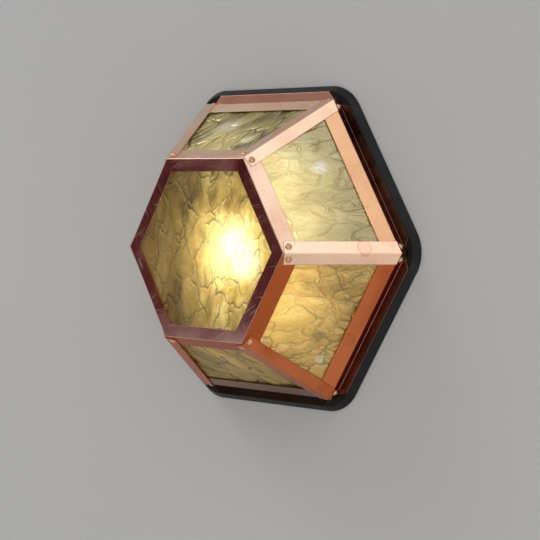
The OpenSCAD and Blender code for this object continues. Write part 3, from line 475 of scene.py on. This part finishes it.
def reliefTree(s):
    tree = bpy.data.node_groups.new("hammeredGlass", "GeometryNodeTree")
    tree.is_modifier = True
    face = tree.interface
    face.new_socket("Pane", in_out="INPUT", socket_type="NodeSocketGeometry")
    for name, kind, value in (("Relief", "Float", 0.0015), ("Cell size", "Float", 0.023),
                              ("Crease", "Float", 0.085), ("Turn", "Float", 0.0),
                              ("Stretch", "Vector", (1, 1, 1)), ("Blister", "Vector", blister["nowhere"]),
                              ("Shift", "Vector", (0, 0, 0)), ("Outward", "Vector", (0, -1, 0))):
        face.new_socket(name, in_out="INPUT", socket_type="NodeSocket" + kind).default_value = value
    face.new_socket("Glass", in_out="INPUT", socket_type="NodeSocketMaterial")
    face.new_socket("Pane", in_out="OUTPUT", socket_type="NodeSocketGeometry")
    given = tree.nodes.new("NodeGroupInput").outputs

    def stored(name, kind):
        return addNode(tree, "GeometryNodeInputNamedAttribute", {"Name": name}, data_type=kind).outputs[0]

    flat = stored("flatPlace", "FLOAT_VECTOR")
    cells = addNode(tree, "ShaderNodeVectorRotate", {"Vector": flat, "Angle": given["Turn"]},
                    rotation_type="Z_AXIS").outputs[0]
    cells = scaled(tree, cells, sums(tree, "DIVIDE", 1.0, given["Cell size"]))
    cells = vectors(tree, "ADD", vectors(tree, "MULTIPLY", cells, given["Stretch"]), given["Shift"])
    large, small, presence, depth = wrinkles(tree, cells, s)

    def plate(distance, width):
        return between(tree, distance, 0.0, width, ease="SMOOTHERSTEP")

    sunk = times(tree, sums(tree, "SUBTRACT", 1.0, plate(large, given["Crease"])), depth)
    ringed = vectors(tree, "DISTANCE", flat, given["Blister"])
    ringed = sums(tree, "ABSOLUTE", sums(tree, "SUBTRACT", ringed, blister["radius"]))
    height = 0.0
    for value, share in (
        (plate(large, s["dome"]), s["domeShare"]),
        (sunk, s["creaseShare"]),
        (times(tree, plate(small, given["Crease"]), presence), s["smallShare"]),
        (noise(tree, cells, s["swells"], 3.0), s["swellShare"]),
        (noise(tree, cells, s["waves"], 2.0), s["waveShare"]),
        (between(tree, ringed, blister["wide"], 0.0), blister["share"]),
    ):
        height = sums(tree, "MULTIPLY_ADD", value, share, height)
    marked = addNode(tree, "GeometryNodeStoreNamedAttribute", {"Geometry": given["Pane"], "Name": "cellPlace",
                                                              "Value": cells},
                     data_type="FLOAT_VECTOR", domain="POINT").outputs[0]
    lift = times(tree, sums(tree, "SUBTRACT", height, s["level"]), given["Relief"])
    lift = times(tree, sums(tree, "MINIMUM", lift, s["proud"]), stored("outerFace", "FLOAT"))
    offset = scaled(tree, given["Outward"], lift)
    moved = addNode(tree, "GeometryNodeSetPosition", {"Geometry": marked, "Offset": offset}).outputs[0]
    real = addNode(tree, "GeometryNodeRealizeInstances", {"Geometry": moved}).outputs[0]
    done = addNode(tree, "GeometryNodeSetMaterial", {"Geometry": real, "Material": given["Glass"]}).outputs[0]
    tree.links.new(done, tree.nodes.new("NodeGroupOutput").inputs[0])
    return tree


def paneBase(name, outline, origin, across, down, normal, s):
    # a closed plate: a fine grid for the outer face, cut to the outline, and a flat back
    bm = bmesh.new()
    xs, ys = [p[0] for p in outline], [p[1] for p in outline]
    wide, tall = max(xs) - min(xs) + s["step"] * 2, max(ys) - min(ys) + s["step"] * 2
    bmesh.ops.create_grid(bm, x_segments=int(wide / s["step"]), y_segments=int(tall / s["step"]), size=0.5,
                          matrix=Matrix.Translation(((max(xs) + min(xs)) / 2, (max(ys) + min(ys)) / 2, 0))
                          @ Matrix.Diagonal((wide, tall, 1, 1)))
    for (ax, ay), (bx, by) in zip(outline, outline[1:] + outline[:1]):
        bmesh.ops.bisect_plane(bm, geom=bm.verts[:] + bm.edges[:] + bm.faces[:], dist=tolerance,
                               plane_co=(ax, ay, 0), plane_no=(by - ay, ax - bx, 0), clear_outer=True)
    bmesh.ops.remove_doubles(bm, verts=bm.verts[:], dist=s["mergeWithin"])
    flat = bm.verts.layers.float_vector.new("flatPlace")
    outer = bm.verts.layers.float.new("outerFace")
    for vert in bm.verts:
        vert[flat] = vert.co
        vert[outer] = 0.0 if vert.is_boundary else 1.0
    for face in bm.faces:
        face.smooth = True
    rim = [edge for edge in bm.edges if edge.is_boundary]
    walls = bmesh.ops.extrude_edge_only(bm, edges=rim)["geom"]
    for vert in [part for part in walls if isinstance(part, bmesh.types.BMVert)]:
        vert.co.z -= lantern["glass"]
        vert[outer] = 0.0
    bmesh.ops.edgeloop_fill(bm, edges=[edge for edge in bm.edges if edge.is_boundary])
    for face in bm.faces:
        if not all(vert[outer] or vert.co.z > -tolerance for vert in face.verts):
            face.smooth = False
    bmesh.ops.transform(bm, verts=bm.verts[:], matrix=Matrix.Translation(origin)
                        @ Matrix((across, down, normal)).transposed().to_4x4())
    bmesh.ops.recalc_face_normals(bm, faces=bm.faces[:])
    mesh = bpy.data.meshes.new(name)
    bm.to_mesh(mesh)
    bm.free()
    return newObject(name, mesh)


def applyTree(thing, tree, values):
    modifier = thing.modifiers.new(tree.name, "NODES")
    modifier.node_group = tree
    for item in tree.interface.items_tree:
        if item.in_out == "INPUT" and item.name in values:
            modifier[item.identifier] = values[item.name]
    graph = bpy.context.evaluated_depsgraph_get()
    made = bpy.data.meshes.new_from_object(thing.evaluated_get(graph), depsgraph=graph)
    thing.modifiers.remove(modifier)
    old, thing.data = thing.data, made
    made.name = thing.name
    bpy.data.meshes.remove(old)


def amberGlassMaterial(name, s):
    material, tree, shader, place = newMaterial(
        name, IOR=s["ior"], Transmission_Weight=s["clear"], Metallic=s["lustre"], Coat_Weight=s["coat"],
        Coat_Roughness=s["coatRough"], Specular_IOR_Level=s["gloss"])
    cells = addNode(tree, "ShaderNodeAttribute", attribute_name="cellPlace").outputs["Vector"]
    large, small, presence, depth = wrinkles(tree, cells, s)

    def trace(distance, stops, share):
        return times(tree, ramp(tree, distance, stops, True), share)

    clouds = noise(tree, cells, s["cloud"], 4, 0.55, warp=0.3)
    body = ramp(tree, clouds, [(0.30, s["olive"]), (0.50, s["gold"]), (0.72, s["pale"])], True)
    # a painted highlight: a bright crest beside each crease
    beside = vectors(tree, "ADD", cells, s["crestAside"])
    crestLarge, crestSmall = wrinkles(tree, beside, s)[:2]
    crest = sums(tree, "MAXIMUM", trace(crestLarge, [(0.0, 1.0), (s["line"] * 1.3, 0.0)], depth),
                 trace(crestSmall, [(0.0, 0.8), (s["line"] * 1.2, 0.0)], presence))
    body = mixColour(tree, times(tree, crest, s["crest"]), body, s["crestHighlight"])
    # painted shade darkens the creases, with a faint painted shade round them, and thin strings lie in the glass
    line = trace(large, [(0.0, 1.0), (s["line"] / 3, 0.8), (s["line"], 0.0)], depth)
    fine = times(tree, trace(small, [(0.0, 0.8), (s["fineLine"], 0.0)], presence), s["fineShare"])
    shade = ramp(tree, large, [(0.0, s["veil"]), (s["veilWide"], 0.0)], True)
    marks = sums(tree, "MAXIMUM", sums(tree, "MAXIMUM", line, fine), shade)
    body = mixColour(tree, times(tree, marks, s["shadeAndStringShare"]), body, s["valley"])
    strings = noise(tree, cells, s["stringScale"], 5, 0.7, stretch=(1.0, 0.35, 1.0), warp=1.4)
    stringLine = ramp(tree, strings, [(0.44, 0.0), (0.49, s["strings"] * s["shadeAndStringShare"]), (0.54, 0.0)])
    body = mixColour(tree, stringLine, body, s["valley"])
    # painted highlights and painted shade: pale patches stand in for soft reflections and the lamp's glow, dark ones
    # for shade beside them
    for middle, reach, colour, share in s["patches"]:
        away = sums(tree, "MULTIPLY_ADD", noise(tree, place, s["patchRim"], 3, 0.6), reach * s["patchWander"],
                    vectors(tree, "DISTANCE", place, middle))
        patch = between(tree, away, reach * 1.6, reach * 0.5, 0.0, share, "SMOOTHSTEP")
        body = mixColour(tree, patch, body, colour)
    tree.links.new(body, shader.inputs["Base Color"])
    # painted glow: emission stands in for the lamp's light through the panes, most where they are near it
    off = vectors(tree, "MULTIPLY", vectors(tree, "ADD", place, s["glowMiddle"]), s["glowStretch"])
    glow = between(tree, vectors(tree, "LENGTH", off), s["near"], s["reach"], s["glow"], s["glowFar"], "SMOOTHSTEP")
    glow = times(tree, glow, ramp(tree, clouds, [(0.3, 0.55), (0.65, 1.15)], True))
    tree.links.new(body, shader.inputs["Emission Color"])
    tree.links.new(glow, shader.inputs["Emission Strength"])
    rough = ramp(tree, strings, [(0.3, s["rough"]), (0.7, s["rough"] * s["rougher"])])
    tree.links.new(rough, shader.inputs["Roughness"])
    # fine ripples, striae and folds on top of the relief of the mesh
    ripples = noise(tree, cells, s["rippleScale"], 3, 0.6, stretch=(1.0, 0.5, 1.0), warp=0.8)
    striae = noise(tree, cells, s["striaeScale"], 2, 0.5, stretch=(0.25, 1.0, 1.0), turn=(0, 0, 0.9))
    level = sums(tree, "MULTIPLY_ADD", ripples, s["ripple"], times(tree, striae, s["striae"]))
    folds = sums(tree, "MAXIMUM", trace(large, [(0.0, 1.0), (s["line"] * 2, 0.0)], depth),
                 trace(small, [(0.0, 0.6), (s["fineFold"], 0.0)], presence))
    bump(tree, shader, sums(tree, "SUBTRACT", level, folds), s["lift"], s["liftDistance"])
    return material


glasses = {name: amberGlassMaterial("amberGlass" + name, {**glassSettings, **own}) for name, own in (
    ("Upper", upperGlass), ("Lower", lowerGlass), ("Top", topGlass), ("Bottom", bottomGlass), ("Front", frontGlass))}
glassTree = reliefTree(glassSettings)
# stretch of the cells across and down the pane, turn and shift of the pattern, glass, cell size, relief, crease
panes = {
    "front_pane": {"name": "glassFront", "stretch": (1.3, 0.7, 1), "turn": 0.12, "shift": 3.0,
                   "glass": "Front", "cell": 0.023, "relief": 0.0011, "crease": 0.085},
    "pane_top": {"name": "glassTop", "stretch": (1.45, 0.6, 1), "turn": 0.38, "shift": 11.0,
                 "glass": "Top", "cell": 0.022, "relief": 0.0013, "crease": 0.15},
    "pane_upper_left": {"name": "glassUpperLeft", "stretch": (1.3, 0.65, 1), "turn": -0.2, "shift": 16.3,
                        "glass": "Upper", "cell": 0.023, "relief": 0.0013, "crease": 0.085},
    "pane_lower_left": {"name": "glassLowerLeft", "stretch": (1.1, 0.75, 1), "turn": 0.2, "shift": 21.6,
                        "glass": "Lower", "cell": 0.023, "relief": 0.0016, "crease": 0.085},
    "pane_bottom": {"name": "glassBottom", "stretch": (1.45, 0.6, 1), "turn": -0.46, "shift": 26.9,
                    "glass": "Bottom", "cell": 0.022, "relief": 0.0013, "crease": 0.15},
    "pane_lower_right": {"name": "glassLowerRight", "stretch": (1.1, 0.75, 1), "turn": -0.2, "shift": 32.2,
                         "glass": "Lower", "cell": 0.021, "relief": 0.0016, "crease": 0.085},
    "pane_upper_right": {"name": "glassUpperRight", "stretch": (1.4, 0.6, 1), "turn": 0.2, "shift": 37.5,
                         "glass": "Upper", "cell": 0.024, "relief": 0.0012, "crease": 0.085},
}
# how deep the glass lies, the front pane's apothem, the side panes' gap to the ridge and their ends down the slope
paneCut = {"skin": lantern["sheet"] + lantern["glassBed"], "front": 0.078,
           "gap": 0.0036, "near": 0.0095, "far": 0.09577}


def frontPaneShape(s):
    corner = s["front"] / math.cos(math.radians(30))
    outline = [(corner * math.cos(math.radians(60 * i)), corner * math.sin(math.radians(60 * i))) for i in range(6)]
    origin = Vector((0, s["skin"] - lantern["depth"], 0))
    return outline, origin, Vector((1, 0, 0)), Vector((0, 0, 1)), Vector((0, -1, 0))


def sidePaneShape(s, side):
    corner, across, down, normal, out = faceFrame(side)

    def half(slope):
        return frontHalf + slope * math.tan(skew) - s["gap"] / math.cos(skew)

    near, far = s["near"], s["far"]
    outline = [(-half(near), near), (half(near), near), (half(far), far), (-half(far), far)]
    return outline, corner - normal * s["skin"], across, down, normal


def makePane(node, own, s):
    front = node == "front_pane"
    shape = frontPaneShape(paneCut) if front else sidePaneShape(paneCut, sideNames.index(node[5:]))
    outline, origin, across, down, normal = shape
    pane = paneBase(own["name"], outline, origin, across, down, normal, s)
    shift = own["shift"]
    applyTree(pane, glassTree, {"Relief": own["relief"], "Cell size": own["cell"], "Crease": own["crease"],
                                "Turn": own["turn"], "Stretch": own["stretch"],
                                "Shift": (shift, shift * 1.7, shift * 0.6), "Outward": normal,
                                "Blister": blister["place" if front else "nowhere"],
                                "Glass": glasses[own["glass"]]})
    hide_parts(node)
    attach(pane, "shade")
    print("pane", pane.name, len(pane.data.polygons))


for node, own in panes.items():
    makePane(node, own, glassSettings)

# rivets, one shape set on every place
rivetSettings = {
    "head": 0.0062, "rise": 0.0013, "pit": 0.0018, "shank": 0.0032, "tail": 0.0046, "tailLength": 0.002,
    "ease": 0.0005, "lip": 0.00005, "steps": 32, "scale": 1.0, "turnSeed": 4,
    "frontAlong": 0.005, "frontIn": 0.0058, "rimIn": 0.0067, "rimHeight": 0.01165,
}


def rivetShape(s):
    # half section from the pit's middle to the tail's middle, turned round the axis
    sheet, headR, pitR, tailR = lantern["sheet"], s["head"] / 2, s["pit"] / 2, s["tail"] / 2
    rise, ease, end = s["rise"], s["ease"], -lantern["sheet"] - s["tailLength"]
    crown = (rise ** 2 + headR ** 2) / (2 * rise)
    points = [(0, sheet + rise * 0.52), (pitR * 0.55, sheet + rise * 0.5), (pitR * 0.86, sheet + rise * 0.6)]
    for i in range(7):
        r = pitR + (headR * 0.985 - pitR) * i / 6
        points.append((r, sheet + rise - crown + math.sqrt(crown ** 2 - r ** 2)))
    points += [(headR, sheet + s["lip"]), (headR * 0.97, sheet), (s["shank"] / 2, sheet), (s["shank"] / 2, -sheet),
               (tailR - ease, -sheet), (tailR - ease * 0.3, -sheet - ease * 0.3), (tailR, -sheet - ease),
               (tailR, end + ease), (tailR - ease * 0.3, end + ease * 0.3), (tailR - ease, end), (0, end)]
    bm = bmesh.new()
    verts = [bm.verts.new((r, 0, z)) for r, z in points]
    edges = [bm.edges.new(pair) for pair in zip(verts, verts[1:])]
    bmesh.ops.spin(bm, geom=verts + edges, cent=(0, 0, 0), axis=(0, 0, 1), angle=math.tau, steps=s["steps"])
    bmesh.ops.remove_doubles(bm, verts=bm.verts[:], dist=tolerance)
    bmesh.ops.recalc_face_normals(bm, faces=bm.faces[:])
    for face in bm.faces:
        face.smooth = True
    mesh = bpy.data.meshes.new("rivetShape")
    bm.to_mesh(mesh)
    bm.free()
    return bpy.data.objects.new("rivetShape", mesh)


def rivetTree(s):
    tree = bpy.data.node_groups.new("rivetsOnPlaces", "GeometryNodeTree")
    tree.is_modifier = True
    face = tree.interface
    face.new_socket("Places", in_out="INPUT", socket_type="NodeSocketGeometry")
    face.new_socket("Rivet", in_out="INPUT", socket_type="NodeSocketObject")
    face.new_socket("Scale", in_out="INPUT", socket_type="NodeSocketFloat").default_value = s["scale"]
    face.new_socket("Turn seed", in_out="INPUT", socket_type="NodeSocketInt").default_value = s["turnSeed"]
    face.new_socket("Metal", in_out="INPUT", socket_type="NodeSocketMaterial")
    face.new_socket("Rivets", in_out="OUTPUT", socket_type="NodeSocketGeometry")
    given = tree.nodes.new("NodeGroupInput").outputs
    axis = addNode(tree, "GeometryNodeInputNamedAttribute", {"Name": "outward"}, data_type="FLOAT_VECTOR").outputs[0]
    upright = addNode(tree, "FunctionNodeAlignRotationToVector", {"Vector": axis}, axis="Z").outputs[0]
    spun = addNode(tree, "FunctionNodeRandomValue", {2: 0.0, 3: math.tau, "Seed": given["Turn seed"]},
                   data_type="FLOAT").outputs[1]
    own = addNode(tree, "FunctionNodeAxisAngleToRotation", {"Axis": (0, 0, 1), "Angle": spun}).outputs[0]
    turned = addNode(tree, "FunctionNodeRotateRotation", {0: upright, 1: own}, rotation_space="LOCAL").outputs[0]
    shape = addNode(tree, "GeometryNodeObjectInfo", {"Object": given["Rivet"]}).outputs["Geometry"]
    placed = addNode(tree, "GeometryNodeInstanceOnPoints", {"Points": given["Places"], "Instance": shape,
                                                           "Rotation": turned, "Scale": given["Scale"]}).outputs[0]
    real = addNode(tree, "GeometryNodeRealizeInstances", {"Geometry": placed}).outputs[0]
    done = addNode(tree, "GeometryNodeSetMaterial", {"Geometry": real, "Material": given["Metal"]}).outputs[0]
    tree.links.new(done, tree.nodes.new("NodeGroupOutput").inputs[0])
    return tree


def rivetPlaces(name, places):
    mesh = bpy.data.meshes.new(name)
    mesh.from_pydata([place for place, axis in places], [], [])
    outward = mesh.attributes.new("outward", "FLOAT_VECTOR", "POINT")
    for item, (place, axis) in zip(outward.data, places):
        item.vector = axis
    return newObject(name, mesh)


def frontRivetPlaces(s):
    x = frontHalf + s["frontAlong"] * math.sin(skew) - s["frontIn"] * math.cos(skew)
    y = s["frontAlong"] * math.cos(skew) + s["frontIn"] * math.sin(skew)
    for side in range(6):
        corner, across, down, normal, out = faceFrame(side)
        for hand in (-1, 1):
            yield corner + across * hand * x + down * y, normal


def rimRivetPlaces(s):
    for side in range(6):
        corner, across, down, normal, out = faceFrame(side)
        for hand in (-1, 1):
            yield (out * rimApothem + across * hand * (rimHalf - s["rimIn"]) - Vector((0, s["rimHeight"], 0))), out


def makeRivets(s):
    shape, tree = rivetShape(s), rivetTree(s)
    for name, node, places in (("rivetsFront", "front_rivets", frontRivetPlaces),
                               ("rivetsRim", "rim_rivets", rimRivetPlaces)):
        rivets = rivetPlaces(name, list(places(s)))
        applyTree(rivets, tree, {"Rivet": shape, "Scale": s["scale"], "Turn seed": s["turnSeed"],
                                 "Metal": coppers["copperRivet"]})
        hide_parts(node)
        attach(rivets, "shade")
        print("rivets", name, len(rivets.data.polygons))
    bpy.data.objects.remove(shape)


makeRivets(rivetSettings)

# lamp: a plated cap below, an opal globe above it, brightest round its middle
lampSettings = {
    "capTop": -0.031, "capDark": rgb(60, 58, 54), "capLight": rgb(74, 72, 68), "capMarks": 90.0,
    "opal": rgb(86, 84, 78), "warm": rgb(100, 90, 70), "capRough": 0.3, "opalRougher": 0.15,
    "middle": 0.001, "core": 0.004, "fadeOut": 0.021, "strength": 70.0, "edge": 2.5,
}


def lampMaterial(s):
    material, tree, shader, place = newMaterial("opalLamp")
    height = along(tree, place, "Z")
    opal = sums(tree, "GREATER_THAN", height, s["capTop"])
    metal = ramp(tree, noise(tree, place, s["capMarks"], 3), [(0.3, s["capDark"]), (0.7, s["capLight"])])
    tree.links.new(mixColour(tree, opal, metal, s["opal"]), shader.inputs["Base Color"])
    tree.links.new(sums(tree, "SUBTRACT", 1.0, opal), shader.inputs["Metallic"])
    rough = sums(tree, "MULTIPLY_ADD", opal, s["opalRougher"], s["capRough"])
    tree.links.new(rough, shader.inputs["Roughness"])
    shader.inputs["Emission Color"].default_value = s["warm"]
    off = sums(tree, "ABSOLUTE", sums(tree, "SUBTRACT", height, s["middle"]))
    bright = between(tree, off, s["core"], s["fadeOut"], s["strength"], s["edge"], "SMOOTHSTEP")
    tree.links.new(times(tree, opal, bright), shader.inputs["Emission Strength"])
    return material


dress(lampMaterial(lampSettings), "lamp")
print("lamp lit")

# wall and floor
stageSettings = {
    "wall": rgb(70, 70, 70), "floor": rgb(80, 80, 79), "lighter": 1.02, "cloud": 3.0, "rough": 0.85, "gloss": 0.2,
    "wallPlace": 0.0004, "floorDrop": 1.4, "reach": 6.0, "hole": 0.165,
}


def stagePlane(name, corners, faces, colour, s):
    mesh = bpy.data.meshes.new(name)
    mesh.from_pydata(corners, [], faces)
    plane = newObject(name, mesh)
    material, tree, shader, place = newMaterial(name, Roughness=s["rough"], Specular_IOR_Level=s["gloss"])
    lighter = tuple(v * s["lighter"] for v in colour[:3]) + (1,)
    shades = ramp(tree, noise(tree, place, s["cloud"], 2), [(0.3, colour), (0.7, lighter)])
    tree.links.new(shades, shader.inputs["Base Color"])
    mesh.materials.append(material)
    return tree, shader


def makeStage(s):
    # the wall is open behind the pan and clear from its own back, so that the pan's back can be looked at
    r, low, wallY, hole = s["reach"], -s["floorDrop"], s["wallPlace"], s["hole"]
    ring = [(hole * math.cos(math.radians(a)), hole * math.sin(math.radians(a))) for a in range(0, 360, 60)]
    outer = [(r, 0), (r, r), (-r, r), (-r, 0), (-r, low), (r, low)]
    corners = [(x, wallY, z) for x, z in ring + outer]
    faces = [(i, i + 6, (i + 1) % 6 + 6, (i + 1) % 6) for i in range(6)]
    tree, shader = stagePlane("wallBehind", corners, faces, s["wall"], s)
    behind = addNode(tree, "ShaderNodeNewGeometry").outputs["Backfacing"]
    clear = addNode(tree, "ShaderNodeBsdfTransparent").outputs[0]
    both = addNode(tree, "ShaderNodeMixShader", {0: behind, 1: shader.outputs[0], 2: clear}).outputs[0]
    tree.links.new(both, tree.nodes["Material Output"].inputs["Surface"])
    corners = [(-r, -r, low), (r, -r, low), (r, wallY, low), (-r, wallY, low)]
    stagePlane("floorBelow", corners, [(0, 1, 2, 3)], s["floor"], s)


makeStage(stageSettings)
print("stage set")

# soft boxes, aimed at the lantern
lights = {
    "skyBox": {"place": (2.4, -0.95, 2.6), "size": (2.6, 2.0), "power": 6.5, "tint": (1, 0.99, 0.97)},
    "sideBox": {"place": (-2.2, -0.5, 0.05), "size": (0.7, 2.2), "power": 3.2, "tint": (1, 1, 1)},
    "leftBox": {"place": (-1.9, -1.0, 2.4), "size": (1.6, 1.6), "power": 19, "tint": (1, 1, 1)},
    "lowBox": {"place": (1.55, -0.45, -1.15), "size": (1.5, 1.3), "power": 4.7, "tint": (1, 0.97, 0.93)},
}
lightAim = (0, -0.05, 0)
# room light: brightest overhead on the right, dim towards the left
worldSettings = {
    "towards": (0.6, 0.35, 0.45), "span": 0.83, "strength": 0.85,
    "tones": [(0.0, rgb(26, 25, 25)), (0.20, rgb(31, 30, 30)), (0.475, rgb(60, 58, 56)), (0.62, rgb(64, 64, 64)),
              (0.89, rgb(100, 100, 100))],
}


def makeLights(boxes, aim):
    for name, light in boxes.items():
        data = bpy.data.lights.new(name, "AREA")
        data.shape, (data.size, data.size_y) = "RECTANGLE", light["size"]
        data.energy, data.color = light["power"], light["tint"]
        box = bpy.data.objects.new(name, data)
        box.location = light["place"]
        box.rotation_euler = (Vector(aim) - Vector(light["place"])).to_track_quat("-Z", "Y").to_euler()
        bpy.context.scene.collection.objects.link(box)


def makeWorld(s):
    world = bpy.data.worlds.new("studio")
    bpy.context.scene.world = world
    world.use_nodes = True
    tree = world.node_tree
    back = tree.nodes["Background"]
    place = addNode(tree, "ShaderNodeTexCoord").outputs["Generated"]
    side = between(tree, vectors(tree, "DOT_PRODUCT", place, s["towards"]), -s["span"], s["span"])
    tree.links.new(ramp(tree, side, s["tones"]), back.inputs["Color"])
    back.inputs["Strength"].default_value = s["strength"]


makeLights(lights, lightAim)
makeWorld(worldSettings)
bpy.context.scene.view_settings.view_transform = "Standard"
print("light set")
